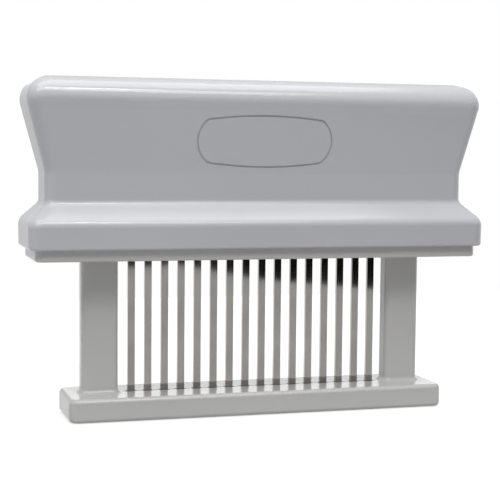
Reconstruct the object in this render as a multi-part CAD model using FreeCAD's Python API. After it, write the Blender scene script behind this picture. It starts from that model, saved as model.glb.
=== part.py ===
import FreeCAD, Part
import math
import os

V = FreeCAD.Vector

# Blade meat tenderizer, in millimetres.
# X runs along the handle, -Y is the front, Z is up.
# The origin is the middle of the foot's underside.

# Overall levels
foot_thickness = 7.3
window_height = 42.0
cover_drop = 3.5
flange_height = 8.3
flare_height = 5.7
waist_height = 9.5
grip_height = 18.0
dome_height = 10.65

# Handle outline
flange_length = 147.2
flange_depth = 32.0
flange_draft = 0.1
flare_spread_x = 5.6
flare_spread_y = 6.0
grip_spread_x = 4.7
grip_spread_y = 2.8
dome_spread_x = 0.7
dome_spread_y = 0.6
dome_rounding = 6.8
dome_steps = 5
dome_sweep = 82
dome_corner_loss = 0.35
shoulder_bulge_x = 0.2
shoulder_bulge_y = 0.15
flange_corner = 3.6
waist_corner = 3.4
grip_corner = 4.4
flange_edge_round = 3.4
flange_rim_round = 0.7
flare_root_round = 2.6
waist_bend_round = 6.0
wall = 2.4
flange_wall = 2.0
roof = 2.8
bend_wall_shift = 1.0
inner_corner_loss = 1.0
dome_wall_extra = 0.4
roof_shoulder = 4.0
roof_edge_inset = 0.5

# Oval outline engraved in the front of the grip
cartouche_length = 43.5
cartouche_height = 16.0
cartouche_bow = 1.3
cartouche_end_bow = 3.3
cartouche_line = 0.55
cartouche_engraving = 0.4
cartouche_corner = 2.0
cartouche_rise = 9.6

# Bottom cover, set into the flange
cover_gap = 0.1
cover_plate = 3.0
cover_rim_height = 3.9
cover_rim_wall = 1.6
cover_rim_corner = 0.4
cover_edge_round = 0.6

# Foot and its two legs
foot_overhang = 10.85
foot_depth = 25.0
foot_corner = 3.0
foot_top_round = 1.4
foot_bottom_round = 1.2
leg_inset = 23.3
leg_width = 11.5
leg_depth = 6.6
leg_corner = 1.8
leg_root_round = 1.6
leg_fit = 0.12

# Guides, stops and springs
guide_height = 5.0
guide_wall = 1.5
stop_overhang = 1.5
stop_corner = 2.9
stop_thickness = 1.2
stop_gap = 0.05
travel = 34.0
stop_screw_length = 12.0
spring_diameter = 10.4
spring_wire = 0.9
spring_turns = 7
spring_end_pitch = 1.45
spring_seat_gap = 0.1
seat_boss = 6.2
seat_boss_clearance = 2.6
seat_ring_gap = 0.4
seat_ring_wall = 1.1
seat_ring_depth = 3.6

# Blades and their holder
blade_count = 16
blade_width = 2.25
blade_thickness = 1.2
blade_slant = 1.9
blade_bevel = 1.7
blade_tip_inset = 2.5
blade_head_width = 3.7
blade_head_height = 2.0
blade_fit = 0.05
slot_gap = 0.25
funnel_gap = 0.5
funnel_depth = 0.8
groove_width = 1.0
groove_depth = 0.5
groove_overrun = 2.6
holder_height = 7.0
holder_depth = 12.4
holder_end = 2.6
holder_gap = 0.3
holder_corner = 1.0
clamp_thickness = 3.0
clamp_edge_round = 0.5
clamp_screw_offset = 3.3
clamp_screw_count = 3
clamp_screw_step = 4
clamp_screw_bite = 2.0

# Pan head screws
screw_shank = 3.0
screw_head = 5.6
screw_head_height = 2.0
screw_head_chamfer = 0.6
cross_length = 3.2
cross_width = 0.6
cross_depth = 0.5

# Screws of the bottom cover
end_screw_offset = 12.0
side_screw_x = 28.0
side_screw_y = 9.6
end_boss = 6.4
side_boss = 6.4
head_sink = 0.4
head_gap = 0.3
cover_screw_length = 9.5
pilot_depth = 5.5

# Ribs inside the handle
rib_thickness = 1.6
rib_pitch = 14.0
rib_count = 5
seat_rib_steps = (1, 3)

# Levels worked out from the sizes above, from the ground up
foot_top = foot_thickness
cover_bottom = foot_top + window_height
rim_z = cover_bottom + cover_drop
flange_top = rim_z + flange_height
flare_top = flange_top + flare_height
waist_top = flare_top + waist_height
grip_top = waist_top + grip_height
handle_top = grip_top + dome_height
roof_z = handle_top - roof
cover_top = cover_bottom + cover_plate
cover_rim_top = cover_top + cover_rim_height
guide_top = cover_top + guide_height
stop_bottom = guide_top + stop_gap
stop_top = stop_bottom + stop_thickness
holder_top = cover_top + holder_height
clamp_top = holder_top + clamp_thickness
waist_length = flange_length - 2 * flare_spread_x
waist_depth = flange_depth - 2 * flare_spread_y
grip_length = waist_length + 2 * grip_spread_x
grip_depth = waist_depth + 2 * grip_spread_y
dome_length = grip_length + 2 * dome_spread_x
dome_depth = grip_depth + 2 * dome_spread_y
leg_x = flange_length / 2 - leg_inset
stop_length = leg_width + 2 * stop_overhang
stop_depth = leg_depth + 2 * stop_overhang
seat_boss_bottom = stop_top + screw_head_height + travel + seat_boss_clearance
screw_seat_z = cover_bottom + screw_head_height + head_sink
foot_length = 2 * (leg_x + foot_overhang)
end_screw_x = leg_x + end_screw_offset
cover_length = flange_length - 2 * (flange_wall + cover_gap)
cover_depth = flange_depth - 2 * (flange_wall + cover_gap)
guide_length = leg_width + 2 * (leg_fit + guide_wall)
guide_depth = leg_depth + 2 * (leg_fit + guide_wall)
holder_length = 2 * (leg_x - holder_gap) - guide_length
row_half = holder_length / 2 - holder_end
blade_pitch = 2 * row_half / (blade_count - 1)


def box(x0, x1, y0, y1, z0, z1):
    """A block between two corners."""
    return Part.makeBox(x1 - x0, y1 - y0, z1 - z0, V(x0, y0, z0))


def cylinder(x, y, z0, z1, diameter):
    """An upright cylinder."""
    return Part.makeCylinder(diameter / 2, z1 - z0, V(x, y, z0))


def outline(length, depth, corner, z, x=0.0, y=0.0):
    """A level rectangle with round corners, as four lines and four arcs."""
    a = length / 2
    b = depth / 2
    s = corner * (1 - math.sqrt(0.5))
    edges = []
    corners = ((1, -1), (1, 1), (-1, 1), (-1, -1))
    for k, (sx, sy) in enumerate(corners):
        along_x = V(x + sx * (a - corner), y + sy * b, z)
        along_y = V(x + sx * a, y + sy * (b - corner), z)
        middle = V(x + sx * (a - s), y + sy * (b - s), z)
        first, last = (along_x, along_y) if k % 2 == 0 else (along_y, along_x)
        edges.append(Part.Arc(first, middle, last).toShape())
        nx, ny = corners[(k + 1) % 4]
        if k % 2 == 0:
            follow = V(x + nx * a, y + ny * (b - corner), z)
        else:
            follow = V(x + nx * (a - corner), y + ny * b, z)
        edges.append(Part.makeLine(last, follow))
    return Part.Wire(edges)


def stack(levels, ruled=True):
    """A solid through level outlines, given as (z, length, depth, corner)."""
    wires = [outline(length, depth, corner, z) for z, length, depth, corner in levels]
    return Part.makeLoft(wires, True, ruled)


def block(length, depth, corner, z0, z1, x=0.0, y=0.0):
    """An upright prism with round corners."""
    face = Part.Face(outline(length, depth, corner, z0, x, y))
    return face.extrude(V(0, 0, z1 - z0))


def loops_at(shape, z):
    """The edges that lie level at one height."""
    found = []
    for edge in shape.Edges:
        bounds = edge.BoundBox
        if abs(bounds.ZMin - z) < 1e-4 and abs(bounds.ZMax - z) < 1e-4:
            found.append(edge)
    return found


def rounded_at(shape, z, radius):
    """Round the level edges at one height."""
    return shape.makeFillet(radius, loops_at(shape, z))


def joined(shapes):
    """Fuse a list of shapes and merge their flush faces."""
    solid = shapes[0].fuse(shapes[1:])
    return solid.removeSplitter()


def save(name, shape):
    """Write one piece, and print its volume and solid count."""
    shape.exportStep(os.path.join("parts", name + ".step"))
    print(name, len(shape.Solids), round(shape.Volume, 2), shape.isValid())


def blade_positions():
    """X of each blade, from left to right."""
    return [blade_pitch * (k - (blade_count - 1) / 2) for k in range(blade_count)]


def cover_screw_positions():
    """X, Y and boss diameter of each screw of the bottom cover."""
    places = [(sx * end_screw_x, 0.0, end_boss) for sx in (-1, 1)]
    for sx in (-1, 1):
        for sy in (-1, 1):
            places.append((sx * side_screw_x, sy * side_screw_y, side_boss))
    return places


def seat_rib_positions():
    """X of the short ribs that the rim of the bottom cover seats against."""
    reach = end_screw_x - end_boss
    places = [0.0, -reach, reach]
    for step in seat_rib_steps:
        places.extend((-step * rib_pitch, step * rib_pitch))
    return places


def clamp_screw_positions():
    """X and Y of the screws that hold the clamp bar, in two staggered rows."""
    step = clamp_screw_step * blade_pitch
    middle = (clamp_screw_count - 1) / 2
    places = []
    for sy in (-1, 1):
        for k in range(clamp_screw_count):
            places.append(((k - middle) * step + sy * blade_pitch, sy * clamp_screw_offset))
    return places


def pan_screw(x, y, head_z, length, up):
    """A pan head screw. Its head seats at head_z; up is 1 where the head is on top."""
    head = Part.makeCylinder(screw_head / 2, screw_head_height, V(x, y, head_z), V(0, 0, up))
    rim = [e for e in head.Edges if abs(e.CenterOfMass.z - head_z - up * screw_head_height) < 1e-6]
    head = head.makeChamfer(screw_head_chamfer, rim[:1])
    shank = Part.makeCylinder(screw_shank / 2, length, V(x, y, head_z), V(0, 0, -up))
    outer_z = head_z + up * screw_head_height
    z0, z1 = sorted((outer_z, outer_z - up * cross_depth))
    a = cross_length / 2
    b = cross_width / 2
    cross = box(x - a, x + a, y - b, y + b, z0, z1)
    cross = cross.fuse(box(x - b, x + b, y - a, y + a, z0, z1))
    return head.fuse(shank).removeSplitter().cut(cross)


def grip_half_depth(z):
    """Half depth of the sloping grip face at a height."""
    share = (z - waist_top) / grip_height
    return (waist_depth + share * (grip_depth - waist_depth)) / 2


def handle_outside():
    """The outer form of the handle: flange, flare, waist, grip and domed top."""
    lower = stack([
        (rim_z, flange_length - 2 * flange_draft, flange_depth - 2 * flange_draft, flange_corner),
        (flange_top, flange_length, flange_depth, flange_corner),
        (flare_top, waist_length, waist_depth, waist_corner),
        (waist_top, waist_length, waist_depth, waist_corner),
        (grip_top, grip_length, grip_depth, grip_corner),
    ])
    lower = rounded_at(lower, rim_z, flange_rim_round)
    lower = rounded_at(lower, flange_top, flange_edge_round)
    lower = rounded_at(lower, flare_top, flare_root_round)
    lower = rounded_at(lower, waist_top, waist_bend_round)
    shoulder = dome_height - dome_rounding
    levels = [(grip_top, grip_length, grip_depth, grip_corner)]
    levels.append((grip_top + shoulder / 2, (grip_length + dome_length) / 2 + shoulder_bulge_x,
                   (grip_depth + dome_depth) / 2 + shoulder_bulge_y, grip_corner))
    for k in range(dome_steps + 1):
        angle = math.radians(dome_sweep) * k / dome_steps
        inset = dome_rounding * (1 - math.cos(angle))
        rise = shoulder + dome_rounding * math.sin(angle)
        corner = grip_corner * (1 - dome_corner_loss * (1 - math.cos(angle)))
        levels.append((grip_top + rise, dome_length - 2 * inset, dome_depth - 2 * inset, corner))
    last_z, last_length, last_depth, last_corner = levels[-1]
    levels[-1] = (handle_top, last_length, last_depth, last_corner)
    dome = stack(levels, ruled=False)
    return joined([lower, dome])


def handle_cavity():
    """The hollow of the handle, open at the flange."""
    inner_flange_length = flange_length - 2 * flange_wall
    inner_flange_depth = flange_depth - 2 * flange_wall
    inner_flange_corner = flange_corner - inner_corner_loss
    inner_waist_length = waist_length - 2 * wall
    inner_waist_depth = waist_depth - 2 * wall
    inner_waist_corner = waist_corner - inner_corner_loss
    inner_grip_corner = grip_corner - inner_corner_loss
    shoulder_wall = wall + dome_wall_extra
    roof_inset = dome_rounding + roof_edge_inset
    return stack([
        (rim_z - bend_wall_shift, inner_flange_length, inner_flange_depth, inner_flange_corner),
        (flange_top - bend_wall_shift, inner_flange_length, inner_flange_depth, inner_flange_corner),
        (flare_top - bend_wall_shift, inner_waist_length, inner_waist_depth, inner_waist_corner),
        (waist_top, inner_waist_length, inner_waist_depth, inner_waist_corner),
        (grip_top - bend_wall_shift, grip_length - 2 * wall, grip_depth - 2 * wall,
         inner_grip_corner),
        (roof_z - roof_shoulder, dome_length - 2 * shoulder_wall, dome_depth - 2 * shoulder_wall,
         inner_grip_corner),
        (roof_z, dome_length - 2 * roof_inset, dome_depth - 2 * roof_inset, inner_grip_corner),
    ])


def cartouche():
    """The engraved oval line: a bowed frame pushed into the sloping front face."""
    def frame(grow):
        a = cartouche_length / 2 + grow
        b = cartouche_height / 2 + grow
        top = Part.Arc(V(-a + cartouche_end_bow, b - cartouche_bow, 0), V(0, b, 0),
                       V(a - cartouche_end_bow, b - cartouche_bow, 0)).toShape()
        right = Part.Arc(V(a - cartouche_end_bow, b - cartouche_bow, 0), V(a, 0, 0),
                         V(a - cartouche_end_bow, -b + cartouche_bow, 0)).toShape()
        low = Part.Arc(V(a - cartouche_end_bow, -b + cartouche_bow, 0), V(0, -b, 0),
                       V(-a + cartouche_end_bow, -b + cartouche_bow, 0)).toShape()
        left = Part.Arc(V(-a + cartouche_end_bow, -b + cartouche_bow, 0), V(-a, 0, 0),
                        V(-a + cartouche_end_bow, b - cartouche_bow, 0)).toShape()
        solid = Part.Face(Part.Wire([top, right, low, left])).extrude(V(0, 0, 4 * cartouche_engraving))
        upright = [e for e in solid.Edges if abs(e.tangentAt(e.FirstParameter).z) > 0.99]
        return solid.makeFillet(cartouche_corner + grow, upright)
    ring = frame(cartouche_line / 2).cut(frame(-cartouche_line / 2))
    middle_z = waist_top + cartouche_rise
    lean = math.degrees(math.atan2((grip_depth - waist_depth) / 2, grip_height))
    ring.translate(V(0, 0, -cartouche_engraving))
    ring.rotate(V(0, 0, 0), V(1, 0, 0), 90 + lean)
    ring.translate(V(0, -grip_half_depth(middle_z), middle_z))
    return ring


def handle_shell():
    """The hollow handle moulding with its ribs, bosses and spring seats."""
    outside = handle_outside()
    shell = outside.cut(handle_cavity())
    inside = []
    deep = flange_depth
    for k in range(rib_count):
        x = (k - (rib_count - 1) / 2) * rib_pitch
        inside.append(box(x - rib_thickness / 2, x + rib_thickness / 2, -deep, deep,
                          flare_top, handle_top))
    for x in seat_rib_positions():
        for side in (-1, 1):
            y0, y1 = sorted((side * (waist_depth / 2 - wall / 2), side * deep))
            inside.append(box(x - rib_thickness / 2, x + rib_thickness / 2, y0, y1,
                              cover_rim_top, flare_top))
    for x, y, boss in cover_screw_positions():
        top = handle_top if y == 0 else flare_top
        inside.append(cylinder(x, y, cover_rim_top, top, boss))
    for side in (-1, 1):
        x = side * leg_x
        inside.append(cylinder(x, 0, seat_boss_bottom, handle_top, seat_boss))
        ring_bore = spring_diameter + 2 * seat_ring_gap
        ring = cylinder(x, 0, roof_z - seat_ring_depth, handle_top, ring_bore + 2 * seat_ring_wall)
        inside.append(ring.cut(cylinder(x, 0, roof_z - seat_ring_depth, roof_z, ring_bore)))
    kept = inside[0].fuse(inside[1:]).common(outside)
    shell = shell.fuse(kept)
    for x, y, boss in cover_screw_positions():
        shell = shell.cut(cylinder(x, y, cover_rim_top, cover_rim_top + pilot_depth, screw_shank))
    shell = shell.cut(cartouche())
    return shell.removeSplitter()


def bottom_cover():
    """The plate set into the flange, with blade slots, leg guides and screw posts."""
    corner = flange_corner - inner_corner_loss
    plate = block(cover_length, cover_depth, corner, cover_bottom, cover_top)
    plate = rounded_at(plate, cover_bottom, cover_edge_round)
    rim = block(cover_length, cover_depth, corner, cover_top, cover_rim_top)
    rim = rim.cut(block(cover_length - 2 * cover_rim_wall, cover_depth - 2 * cover_rim_wall,
                        cover_rim_corner, cover_top, cover_rim_top))
    pieces = [plate, rim]
    for side in (-1, 1):
        pieces.append(block(guide_length, guide_depth, leg_corner + leg_fit + guide_wall,
                            cover_top, guide_top, side * leg_x))
    for x, y, boss in cover_screw_positions():
        pieces.append(cylinder(x, y, cover_top, cover_rim_top, boss))
    cover = joined(pieces)
    cuts = []
    for side in (-1, 1):
        cuts.append(block(leg_width + 2 * leg_fit, leg_depth + 2 * leg_fit, leg_corner + leg_fit,
                          cover_bottom, guide_top, side * leg_x))
    for x in blade_positions():
        cuts.append(blade_slot(x, cover_bottom, cover_top, slot_gap))
    for x, y, boss in cover_screw_positions():
        cuts.append(cylinder(x, y, cover_bottom, cover_rim_top, screw_shank))
        cuts.append(cylinder(x, y, cover_bottom, screw_seat_z, screw_head + 2 * head_gap))
    for x, y in clamp_screw_positions():
        cuts.append(cylinder(x, y, cover_top - clamp_screw_bite, cover_top, screw_shank))
    return cover.cut(cuts)


def blade_slot(x, z0, z1, gap):
    """The room of one blade between two levels."""
    a = blade_width / 2 + gap
    b = blade_thickness / 2 + gap
    return box(x - a, x + a, -b, b, z0, z1)


def foot_frame():
    """The slotted foot plate and its two legs, one moulding."""
    plate = block(foot_length, foot_depth, foot_corner, 0, foot_top)
    plate = rounded_at(plate, foot_top, foot_top_round)
    plate = rounded_at(plate, 0, foot_bottom_round)
    legs = [block(leg_width, leg_depth, leg_corner, foot_top - 1, guide_top, side * leg_x)
            for side in (-1, 1)]
    frame = joined([plate] + legs)
    roots = []
    for edge in loops_at(frame, foot_top):
        middle = edge.CenterOfMass
        if abs(abs(middle.x) - leg_x) < leg_width / 2 + 0.1 and abs(middle.y) < leg_depth / 2 + 0.1:
            roots.append(edge)
    frame = frame.makeFillet(leg_root_round, roots)
    cuts = []
    for x in blade_positions():
        cuts.append(blade_slot(x, 0, foot_top, slot_gap))
        cuts.append(funnel(x))
    reach = row_half + groove_overrun
    groove = Part.makePolygon([V(-reach, -groove_width / 2, foot_top), V(-reach, 0, foot_top - groove_depth),
                               V(-reach, groove_width / 2, foot_top), V(-reach, -groove_width / 2, foot_top)])
    cuts.append(Part.Face(groove).extrude(V(2 * reach, 0, 0)))
    for side in (-1, 1):
        cuts.append(cylinder(side * leg_x, 0, guide_top - stop_screw_length, guide_top, screw_shank))
    return frame.cut(cuts)


def funnel(x):
    """The flared mouth of one blade slot in the foot."""
    wires = []
    for z, gap in ((foot_top - funnel_depth, slot_gap), (foot_top, funnel_gap)):
        a = blade_width / 2 + gap
        b = blade_thickness / 2 + gap
        wires.append(Part.makePolygon([V(x - a, -b, z), V(x + a, -b, z), V(x + a, b, z),
                                       V(x - a, b, z), V(x - a, -b, z)]))
    return Part.makeLoft(wires, True, True)


def blade(x, mirror):
    """One blade: head, long flat shank, and a slanted tip ground from both faces."""
    a = blade_width / 2
    h = blade_head_width / 2
    head_low = holder_top - blade_head_height
    short_z = blade_tip_inset + blade_slant
    points = [(-h, holder_top), (-h, head_low), (-a, head_low), (-a, short_z),
              (a, blade_tip_inset), (a, head_low), (h, head_low), (h, holder_top)]
    path = [V(x + mirror * px, -blade_thickness / 2, pz) for px, pz in points]
    face = Part.Face(Part.makePolygon(path + path[:1]))
    solid = face.extrude(V(0, blade_thickness, 0))
    t = blade_thickness / 2
    slope = V(2 * mirror * a, 0, -blade_slant).normalize()
    across = V(mirror * slope.z, 0, -mirror * slope.x)
    inward = across if across.z > 0 else across * -1
    start = V(x - mirror * a, 0, short_z) - slope * 2
    for side in (-1, 1):
        wedge = [start - inward, start - inward + V(0, side * 2 * t, 0),
                 start + inward * blade_bevel + V(0, side * 2 * t, 0),
                 start + inward * blade_bevel + V(0, side * t, 0), start]
        cutter = Part.Face(Part.makePolygon(wedge + wedge[:1])).extrude(slope * 8)
        solid = solid.cut(cutter)
    return solid


def blade_holder():
    """The bar whose slots and pockets hold the heads of the blades."""
    bar = block(holder_length, holder_depth, holder_corner, cover_top, holder_top)
    cuts = []
    for x in blade_positions():
        cuts.append(blade_slot(x, cover_top, holder_top, blade_fit))
        a = blade_head_width / 2 + blade_fit
        b = blade_thickness / 2 + blade_fit
        cuts.append(box(x - a, x + a, -b, b, holder_top - blade_head_height, holder_top))
    for x, y in clamp_screw_positions():
        cuts.append(cylinder(x, y, cover_top, holder_top, screw_shank))
    return bar.cut(cuts)


def clamp_bar():
    """The steel bar screwed down over the heads of the blades."""
    bar = block(holder_length, holder_depth, holder_corner, holder_top, clamp_top)
    bar = rounded_at(bar, clamp_top, clamp_edge_round)
    return bar.cut([cylinder(x, y, holder_top, clamp_top, screw_shank)
                    for x, y in clamp_screw_positions()])


def stop_plate(side):
    """The plate on top of a leg that stops the handle and seats the spring."""
    plate = block(stop_length, stop_depth, stop_corner, stop_bottom, stop_top, side * leg_x)
    pad = block(leg_width, leg_depth, leg_corner, guide_top, stop_bottom, side * leg_x)
    plate = joined([plate, pad])
    return plate.cut(cylinder(side * leg_x, 0, guide_top, stop_top, screw_shank))


def arc_through(start, tangent, end):
    """An arc from start along its tangent to end."""
    chord = end - start
    half = math.acos(max(-1.0, min(1.0, chord.dot(tangent) / chord.Length)))
    middle = (start + end) * 0.5
    corner = start + tangent * (chord.Length / 2 / math.cos(half))
    share = math.tan(half / 2) / math.tan(half)
    return Part.Arc(start, middle + (corner - middle) * share, end).toShape()


def coil_point(turn, centre_x, low, high):
    """A point on the spring's centre line, by turns from its lower end."""
    rise = high - low
    middle_pitch = (rise - 2 * spring_end_pitch) / (spring_turns - 2)
    radius = (spring_diameter - spring_wire) / 2
    if turn < 1:
        z = low + spring_end_pitch * turn
    elif turn > spring_turns - 1:
        z = high - spring_end_pitch * (spring_turns - turn)
    else:
        z = low + spring_end_pitch + middle_pitch * (turn - 1)
    angle = 2 * math.pi * turn
    return V(centre_x + radius * math.cos(angle), radius * math.sin(angle), z)


def coil_tangent(turn, centre_x, low, high):
    """The direction of the spring's centre line."""
    step = 1e-3
    ahead = coil_point(min(turn + step, spring_turns), centre_x, low, high)
    behind = coil_point(max(turn - step, 0), centre_x, low, high)
    return (ahead - behind).normalize()


def spring(side):
    """A compression spring, one unbroken wire, between the stop plate and the roof."""
    centre_x = side * leg_x
    low = stop_top + spring_seat_gap + spring_wire / 2
    high = roof_z - spring_seat_gap - spring_wire / 2
    edges = []
    for k in range(2 * spring_turns):
        first = k / 2
        last = (k + 1) / 2
        p0 = coil_point(first, centre_x, low, high)
        p1 = coil_point(last, centre_x, low, high)
        t0 = coil_tangent(first, centre_x, low, high)
        t1 = coil_tangent(last, centre_x, low, high)
        span = p1 - p0
        both = t0 + t1
        bend = 2 * (1 - t0.dot(t1))
        reach = (-span.dot(both) + math.sqrt(span.dot(both) ** 2 + bend * span.dot(span))) / bend
        join = (p0 + p1 + (t0 - t1) * reach) * 0.5
        edges.append(arc_through(p0, t0, join))
        edges.append(arc_through(p1, t1 * -1, join))
    path = Part.Wire(Part.__sortEdges__(edges))
    start = coil_point(0, centre_x, low, high)
    direction = coil_tangent(0, centre_x, low, high)
    section = Part.Wire(Part.makeCircle(spring_wire / 2, start, direction))
    if side > 0:
        print("spring gap between turns", round(least_coil_gap(centre_x, low, high), 3))
    return path.makePipeShell([section], True, False)


def least_coil_gap(centre_x, low, high):
    """The smallest distance between two turns of the wire, measured on points."""
    per_turn = 24
    points = [coil_point(k / per_turn, centre_x, low, high)
              for k in range(per_turn * spring_turns + 1)]
    least = high - low
    for k, point in enumerate(points):
        for other in points[k + per_turn // 2:]:
            least = min(least, (point - other).Length)
    return least - spring_wire


os.makedirs("parts", exist_ok=True)

save("handle_shell", handle_shell())
save("bottom_cover", bottom_cover())
save("foot_frame", foot_frame())
save("blade_holder", blade_holder())
save("clamp_bar", clamp_bar())
for number, blade_x in enumerate(blade_positions(), start=1):
    save("blade_%02d" % number, blade(blade_x, 1 if number % 2 else -1))
save("clamp_screws", Part.makeCompound([
    pan_screw(x, y, clamp_top, clamp_top - cover_top + clamp_screw_bite, 1)
    for x, y in clamp_screw_positions()]))
save("cover_screws", Part.makeCompound([
    pan_screw(x, y, screw_seat_z, cover_screw_length, -1)
    for x, y, boss in cover_screw_positions()]))
for side_name, side_sign in (("left", -1), ("right", 1)):
    save("stop_plate_" + side_name, stop_plate(side_sign))
    save("stop_screw_" + side_name, pan_screw(side_sign * leg_x, 0, stop_top, stop_screw_length, 1))
    save("spring_" + side_name, spring(side_sign))
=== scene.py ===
import bpy
import math
from mathutils import Matrix, Vector

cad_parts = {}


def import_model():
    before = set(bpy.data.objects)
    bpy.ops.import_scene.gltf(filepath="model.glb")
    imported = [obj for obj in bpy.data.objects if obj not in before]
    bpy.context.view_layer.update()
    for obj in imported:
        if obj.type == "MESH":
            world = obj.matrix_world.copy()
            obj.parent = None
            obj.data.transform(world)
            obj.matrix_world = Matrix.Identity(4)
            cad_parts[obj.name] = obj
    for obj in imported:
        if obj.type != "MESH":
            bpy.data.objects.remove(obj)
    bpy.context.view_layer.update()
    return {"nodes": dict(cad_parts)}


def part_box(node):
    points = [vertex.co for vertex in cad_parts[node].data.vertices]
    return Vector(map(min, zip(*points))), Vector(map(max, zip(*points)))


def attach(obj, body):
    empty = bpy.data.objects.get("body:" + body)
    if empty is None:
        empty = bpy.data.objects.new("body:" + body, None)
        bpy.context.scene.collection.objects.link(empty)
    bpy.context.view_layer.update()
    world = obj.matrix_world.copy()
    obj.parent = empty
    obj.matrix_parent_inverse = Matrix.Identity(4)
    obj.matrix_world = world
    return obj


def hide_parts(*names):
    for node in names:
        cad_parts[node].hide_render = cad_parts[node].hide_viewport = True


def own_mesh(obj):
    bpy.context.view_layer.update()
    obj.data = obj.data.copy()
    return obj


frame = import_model()
nodes = frame["nodes"]

# Main camera: place in metres, angles in degrees, focal length in picture widths
CAMERA_PLACE = (-0.12246, -0.40700, 0.08312)
CAMERA_YAW = 16.579
CAMERA_PITCH = 4.293
CAMERA_ROLL = 0.526
FOCAL_WIDTHS = 2.6544
SENSOR_MM = 36.0
CLIP_START = 0.01

# Finish colours, linear
HANDLE_COLOUR = (0.564, 0.567, 0.600)
COVER_COLOUR = (0.620, 0.606, 0.600)
FOOT_COLOUR = (0.588, 0.586, 0.580)
HOLDER_COLOUR = (0.34, 0.345, 0.36)
BLADE_COLOUR = (0.43, 0.412, 0.39)
CLAMP_COLOUR = (0.42, 0.42, 0.42)
SCREW_COLOUR = (0.38, 0.38, 0.385)
SPRING_COLOUR = (0.34, 0.34, 0.35)

# Roughness of each finish; a pair is the range that its grain runs through
HANDLE_ROUGHNESS = 0.15
COVER_ROUGHNESS = 0.2
FOOT_ROUGHNESS = 0.22
HOLDER_ROUGHNESS = 0.4
BLADE_ROUGHNESS = (0.03, 0.07)
CLAMP_ROUGHNESS = 0.34
SCREW_ROUGHNESS = 0.26
SPRING_ROUGHNESS = 0.28

# Moulded plastic: marks per metre, relief as strength and depth in metres
PLASTIC_IOR = 1.53
PLASTIC_SCATTER = 0.04
PLASTIC_SCATTER_DEPTH = (0.0012, 0.0011, 0.0010)
FLOW_SCALE = 22
FLOW_TINTS = (0.985, 1.015)
SCUFF_SCALE = 420
SCUFF_CHANGE = (-0.01, 0.03)
SINK_SCALE = 30
SINK_RELIEF = (0.05, 0.0005)
PEEL_SCALE = 1100
PEEL_RELIEF = (0.03, 0.00003)

# Steel: marks per metre and how far they stretch, relief as strength and depth in metres
DRAWN_SCALE = 5200
DRAWN_STRETCH = (1.0, 1.0, 0.02)
DRAWN_RELIEF = (0.12, 0.00002)
STAIN_SCALE = 130
STAIN_STRETCH = (1.0, 1.0, 0.6)
STAIN_TINTS = (1.06, 0.85)
GRAIN_SCALE = 2600
GRAIN_STRETCH = (0.15, 1.0, 1.0)
GRAIN_CHANGE = (0.8, 1.3)
GRAIN_RELIEF = (0.08, 0.00002)
PATCH_SCALE = 140
PATCH_TINTS = (0.85, 1.1)

# Springs, as the frame has them, and how finely they are divided
WIRE = 0.0009
TURNS = 7
END_PITCH = 0.00145
SIDES = 12
STEPS_PER_TURN = 40

# Studio, in metres: a floor, and cards and walls that only glossy parts mirror
STUDIO_LEFT = -0.7
STUDIO_RIGHT = 0.7
FLOOR_BACK = 0.32
FLOOR_Z = -0.0002
FRONT_EDGE = ((STUDIO_LEFT, -0.505), (0.07, -0.505), (0.10, -0.52), (0.125, -0.40),
              (0.19, -0.31), (STUDIO_RIGHT, -0.20))
GREY_CARD_BACK = -0.03
GREY_CARD_Z = 0.001
WALL_TOP = 0.22
REAR_CARD_Y = 0.58
REAR_CARD_TOP = 0.9
REAR_CARD_SPLIT = -0.05
REAR_RIGHT_BOTTOM = 0.2

# Studio finishes, and how bright each looks: 1 is white
FLOOR_COLOUR = (0.45, 0.45, 0.45)
FLOOR_ROUGHNESS = 0.7
FLOOR_GLOW = 0.68
CARD_COLOUR = (0, 0, 0)
WALL_COLOUR = (0.01, 0.01, 0.01)
CARD_ROUGHNESS = 0.9
CARD_SPECULAR = 0.1
GREY_CARD_GLOW = 0.66
REAR_LEFT_GLOW = 0.78
REAR_RIGHT_GLOW = 0.55
ROOM_LIGHT = 0.27

# Lamps: name, place, target, width, depth, watts, and whether a camera would see it
LAMPS = (
    ("overhead", (-0.06, -0.09, 0.80), (-0.06, -0.09, 0.0), 0.8, 0.5, 3.6, True),
    ("key", (-0.18, -0.52, 0.76), (0, 0, 0.08), 1.1, 0.24, 3.8, True),
    ("core", (0.08, -0.50, 0.745), (0, 0, 0.08), 0.08, 0.04, 0.25, True),
    ("behind", (0.10, 0.62, 0.26), (0, 0, 0.06), 0.7, 0.3, 0.6, False),
)

scene = bpy.context.scene
scene.view_settings.view_transform = "Standard"


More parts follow.
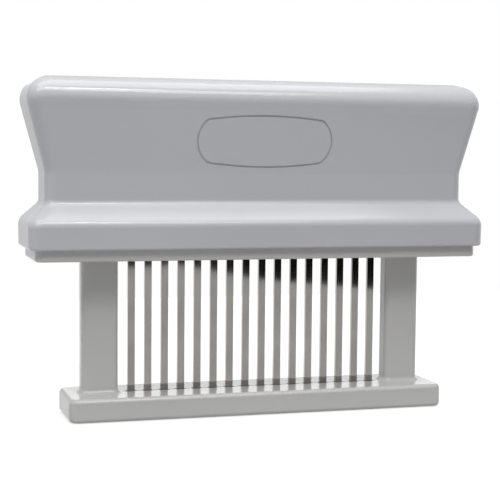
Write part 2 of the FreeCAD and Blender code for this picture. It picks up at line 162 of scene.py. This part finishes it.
class Nodes:
    """The node tree of a material or world, with short calls to add and join its nodes."""

    def __init__(self, owner, output):
        owner.use_nodes = True
        self.owner = owner
        self.tree = owner.node_tree
        self.tree.nodes.clear()
        self.output = self.add(output)

    def add(self, kind, **settings):
        node = self.tree.nodes.new(kind)
        for key, value in settings.items():
            setattr(node, key, value)
        return node

    def join(self, source, target):
        self.tree.links.new(source, target)

    def shader(self, colour, metallic, roughness):
        node = self.add("ShaderNodeBsdfPrincipled")
        node.inputs["Base Color"].default_value = (*colour, 1)
        node.inputs["Metallic"].default_value = metallic
        node.inputs["Roughness"].default_value = roughness
        self.join(node.outputs["BSDF"], self.output.inputs["Surface"])
        return node

    def noise(self, scale, detail, stretch=(1, 1, 1), roughness=0.55):
        """Noise over object coordinates in metres, stretched along each axis."""
        coordinates = self.add("ShaderNodeTexCoord")
        mapping = self.add("ShaderNodeMapping")
        mapping.inputs["Scale"].default_value = stretch
        self.join(coordinates.outputs["Object"], mapping.inputs["Vector"])
        node = self.add("ShaderNodeTexNoise")
        node.inputs["Scale"].default_value = scale
        node.inputs["Detail"].default_value = detail
        node.inputs["Roughness"].default_value = roughness
        self.join(mapping.outputs["Vector"], node.inputs["Vector"])
        return node.outputs["Fac"]

    def spread(self, value, low, high, out_low=0, out_high=1):
        """A value's range from low to high, moved to another range and held in it."""
        node = self.add("ShaderNodeMapRange")
        node.inputs["From Min"].default_value = low
        node.inputs["From Max"].default_value = high
        node.inputs["To Min"].default_value = out_low
        node.inputs["To Max"].default_value = out_high
        self.join(value, node.inputs["Value"])
        return node.outputs["Result"]

    def tint(self, factor, colour, tints):
        """A colour that runs between two strengths of itself."""
        node = self.add("ShaderNodeMix", data_type="RGBA")
        for socket, strength in zip("AB", tints):
            node.inputs[socket].default_value = (*(c * strength for c in colour), 1)
        self.join(factor, node.inputs["Factor"])
        return node.outputs["Result"]

    def bump(self, height, relief, onto=None):
        strength, depth = relief
        node = self.add("ShaderNodeBump")
        node.inputs["Strength"].default_value = strength
        node.inputs["Distance"].default_value = depth
        self.join(height, node.inputs["Height"])
        if onto is not None:
            self.join(onto, node.inputs["Normal"])
        return node.outputs["Normal"]

    def backdrop_ray(self):
        """One for a ray from the camera, a gloss or a clear part, and nothing for the others."""
        path = self.add("ShaderNodeLightPath")
        ray = path.outputs["Is Camera Ray"]
        for kind in ("Is Glossy Ray", "Is Transmission Ray"):
            either = self.add("ShaderNodeMath", operation="MAXIMUM")
            self.join(ray, either.inputs[0])
            self.join(path.outputs[kind], either.inputs[1])
            ray = either.outputs[0]
        return ray


def new_material(name):
    return Nodes(bpy.data.materials.new(name), "ShaderNodeOutputMaterial")


def moulded_plastic(name, colour, roughness):
    """Moulded ABS: faint flow marks, sink marks, fine orange peel and light handling scuffs."""
    m = new_material(name)
    shader = m.shader(colour, 0.0, roughness)
    shader.inputs["IOR"].default_value = PLASTIC_IOR
    shader.inputs["Subsurface Weight"].default_value = PLASTIC_SCATTER
    shader.inputs["Subsurface Radius"].default_value = PLASTIC_SCATTER_DEPTH
    flow = m.spread(m.noise(FLOW_SCALE, 2.0), 0.3, 0.7)
    m.join(m.tint(flow, colour, FLOW_TINTS), shader.inputs["Base Color"])
    smooth, scuffed = (roughness + change for change in SCUFF_CHANGE)
    scuff = m.spread(m.noise(SCUFF_SCALE, 4.0, roughness=0.6), 0.4, 0.8, smooth, scuffed)
    m.join(scuff, shader.inputs["Roughness"])
    sink = m.bump(m.noise(SINK_SCALE, 1.0), SINK_RELIEF)
    peel = m.bump(m.noise(PEEL_SCALE, 1.0), PEEL_RELIEF, onto=sink)
    m.join(peel, shader.inputs["Normal"])
    return m.owner


def blade_steel():
    """Polished stainless strip: drawn lines along the blade and a faint warm stain."""
    m = new_material("blade_steel")
    shader = m.shader(BLADE_COLOUR, 1.0, max(BLADE_ROUGHNESS))
    lines = m.noise(DRAWN_SCALE, 3.0, DRAWN_STRETCH)
    stain = m.spread(m.noise(STAIN_SCALE, 4.0, STAIN_STRETCH), 0.35, 0.7)
    m.join(m.tint(stain, BLADE_COLOUR, STAIN_TINTS), shader.inputs["Base Color"])
    m.join(m.spread(lines, 0.3, 0.7, *BLADE_ROUGHNESS), shader.inputs["Roughness"])
    m.join(m.bump(lines, DRAWN_RELIEF), shader.inputs["Normal"])
    return m.owner


def plain_steel(name, colour, roughness):
    """Stamped or drawn steel: fine grain and dull patches."""
    m = new_material(name)
    shader = m.shader(colour, 1.0, roughness)
    grain = m.noise(GRAIN_SCALE, 3.0, GRAIN_STRETCH)
    patch = m.spread(m.noise(PATCH_SCALE, 3.0), 0.35, 0.65)
    m.join(m.tint(patch, colour, PATCH_TINTS), shader.inputs["Base Color"])
    smooth, rough = (roughness * change for change in GRAIN_CHANGE)
    m.join(m.spread(grain, 0.3, 0.7, smooth, rough), shader.inputs["Roughness"])
    m.join(m.bump(grain, GRAIN_RELIEF), shader.inputs["Normal"])
    return m.owner


def finish_nodes():
    """Give each node of the frame its finish."""
    handle = moulded_plastic("handle_plastic", HANDLE_COLOUR, HANDLE_ROUGHNESS)
    cover = moulded_plastic("cover_plastic", COVER_COLOUR, COVER_ROUGHNESS)
    foot = moulded_plastic("foot_plastic", FOOT_COLOUR, FOOT_ROUGHNESS)
    holder = moulded_plastic("holder_plastic", HOLDER_COLOUR, HOLDER_ROUGHNESS)
    blade = blade_steel()
    clamp = plain_steel("clamp_steel", CLAMP_COLOUR, CLAMP_ROUGHNESS)
    screw = plain_steel("screw_steel", SCREW_COLOUR, SCREW_ROUGHNESS)
    by_name = {"handle_shell": handle, "bottom_cover": cover, "foot_frame": foot,
               "blade_holder": holder}
    for name, node in nodes.items():
        if name in by_name:
            material = by_name[name]
        elif name.startswith("blade_"):
            material = blade
        elif "screw" in name:
            material = screw
        else:
            material = clamp
        node.data.materials.clear()
        node.data.materials.append(material)


def coil_mesh(name, low, high):
    """A helix of round wire with closed ends, between a node's lowest and highest corners."""
    radius = (high.x - low.x - WIRE) / 2
    centre = (low + high) / 2
    bottom = low.z + WIRE / 2
    top = high.z - WIRE / 2
    pitch = (top - bottom - 2 * END_PITCH) / (TURNS - 2)
    up = Vector((0, 0, 1))
    steps = TURNS * STEPS_PER_TURN
    vertices = []
    faces = []
    for k in range(steps + 1):
        turn = k / STEPS_PER_TURN
        if turn < 1:
            z = bottom + END_PITCH * turn
        elif turn > TURNS - 1:
            z = top - END_PITCH * (TURNS - turn)
        else:
            z = bottom + END_PITCH + pitch * (turn - 1)
        angle = 2 * math.pi * turn
        out = Vector((math.cos(angle), math.sin(angle), 0))
        middle = Vector((centre.x, centre.y, z)) + out * radius
        for j in range(SIDES):
            around = 2 * math.pi * j / SIDES
            vertices.append(middle + (out * math.cos(around) + up * math.sin(around)) * WIRE / 2)
        if k:
            for j in range(SIDES):
                a = (k - 1) * SIDES + j
                b = (k - 1) * SIDES + (j + 1) % SIDES
                faces.append((a, b, b + SIDES, a + SIDES))
    faces.append(tuple(range(SIDES)))
    faces.append(tuple(reversed(range(steps * SIDES, (steps + 1) * SIDES))))
    mesh = bpy.data.meshes.new(name)
    mesh.from_pydata(vertices, [], faces)
    mesh.update()
    mesh.shade_smooth()
    return mesh


def coil(name, node, body):
    """A compression spring in place of its node, attached to the foot."""
    low, high = (Vector(corner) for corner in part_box(node))
    piece = bpy.data.objects.new(name, coil_mesh(name, low, high))
    scene.collection.objects.link(piece)
    piece.data.materials.append(plain_steel(name + "_steel", SPRING_COLOUR, SPRING_ROUGHNESS))
    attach(piece, body)
    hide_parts(node)
    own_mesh(piece)


def world():
    """A room that looks white and lights softly."""
    room = bpy.data.worlds.new("room")
    scene.world = room
    m = Nodes(room, "ShaderNodeOutputWorld")
    background = m.add("ShaderNodeBackground")
    background.inputs["Color"].default_value = (1, 1, 1, 1)
    m.join(m.spread(m.backdrop_ray(), 0, 1, ROOM_LIGHT, 1), background.inputs["Strength"])
    m.join(background.outputs["Background"], m.output.inputs["Surface"])


def plane(name, corners, colour, roughness, glow=0.0):
    """A flat matte piece of the studio, which may look brighter than it lights."""
    mesh = bpy.data.meshes.new(name)
    mesh.from_pydata(corners, [], [tuple(range(len(corners)))])
    obj = bpy.data.objects.new(name, mesh)
    scene.collection.objects.link(obj)
    m = new_material(name)
    shader = m.shader(colour, 0.0, roughness)
    shader.inputs["Specular IOR Level"].default_value = CARD_SPECULAR
    if glow:
        shader.inputs["Emission Color"].default_value = (1, 1, 1, 1)
        m.join(m.spread(m.backdrop_ray(), 0, 1, 0, glow), shader.inputs["Emission Strength"])
    mesh.materials.append(m.owner)
    return obj


def card(name, corners, colour, glow=0.0):
    """A studio card out of sight and out of the lighting: only glossy parts mirror it."""
    obj = plane(name, corners, colour, CARD_ROUGHNESS, glow)
    obj.visible_camera = False
    obj.visible_diffuse = False
    obj.visible_transmission = False
    obj.visible_volume_scatter = False
    obj.visible_shadow = False


def level(back, z):
    """Corners of a level piece between the studio's front edge and a back line."""
    edge = [(x, y, z) for x, y in FRONT_EDGE]
    return edge + [(STUDIO_RIGHT, back, z), (STUDIO_LEFT, back, z)]


def studio():
    """A white table top, a grey card and dark walls in front, light grey cards behind."""
    plane("floor", level(FLOOR_BACK, FLOOR_Z), FLOOR_COLOUR, FLOOR_ROUGHNESS, FLOOR_GLOW)
    card("grey_card", level(GREY_CARD_BACK, GREY_CARD_Z), CARD_COLOUR, GREY_CARD_GLOW)
    for k, (first, last) in enumerate(zip(FRONT_EDGE, FRONT_EDGE[1:])):
        corners = [(*first, 0), (*last, 0), (*last, WALL_TOP), (*first, WALL_TOP)]
        card("dark_wall_%d" % k, corners, WALL_COLOUR)
    for name, x0, x1, z0, glow in (
            ("rear_card_left", STUDIO_LEFT, REAR_CARD_SPLIT, 0, REAR_LEFT_GLOW),
            ("rear_card_right", REAR_CARD_SPLIT, STUDIO_RIGHT, REAR_RIGHT_BOTTOM, REAR_RIGHT_GLOW)):
        corners = [(x, REAR_CARD_Y, z) for x, z in ((x0, z0), (x1, z0), (x1, REAR_CARD_TOP),
                                                    (x0, REAR_CARD_TOP))]
        card(name, corners, CARD_COLOUR, glow)


def soft_box(name, place, target, width, depth, watts, seen):
    """A rectangular studio lamp that points at a target."""
    data = bpy.data.lights.new(name, "AREA")
    data.shape = "RECTANGLE"
    data.size = width
    data.size_y = depth
    data.energy = watts
    lamp = bpy.data.objects.new(name, data)
    scene.collection.objects.link(lamp)
    lamp.location = place
    direction = Vector(target) - Vector(place)
    lamp.rotation_euler = direction.to_track_quat("-Z", "Y").to_euler()
    lamp.visible_camera = seen


def camera():
    """The main view's camera."""
    yaw = math.radians(CAMERA_YAW)
    pitch = math.radians(CAMERA_PITCH)
    roll = math.radians(CAMERA_ROLL)
    forward = Vector((math.sin(yaw) * math.cos(pitch), math.cos(yaw) * math.cos(pitch),
                      -math.sin(pitch)))
    right = Vector((math.cos(yaw), -math.sin(yaw), 0))
    up = right.cross(forward)
    turned_right = right * math.cos(roll) + up * math.sin(roll)
    turned_up = up * math.cos(roll) - right * math.sin(roll)
    data = bpy.data.cameras.new("camera")
    data.sensor_width = SENSOR_MM
    data.lens = FOCAL_WIDTHS * SENSOR_MM
    data.clip_start = CLIP_START
    obj = bpy.data.objects.new("camera", data)
    scene.collection.objects.link(obj)
    axes = Matrix((turned_right, turned_up, -forward)).transposed().to_4x4()
    obj.matrix_world = Matrix.Translation(CAMERA_PLACE) @ axes
    scene.camera = obj


finish_nodes()
for side in ("left", "right"):
    coil("coil_" + side, "spring_" + side, "foot")

world()
studio()
for lamp in LAMPS:
    soft_box(*lamp)
camera()
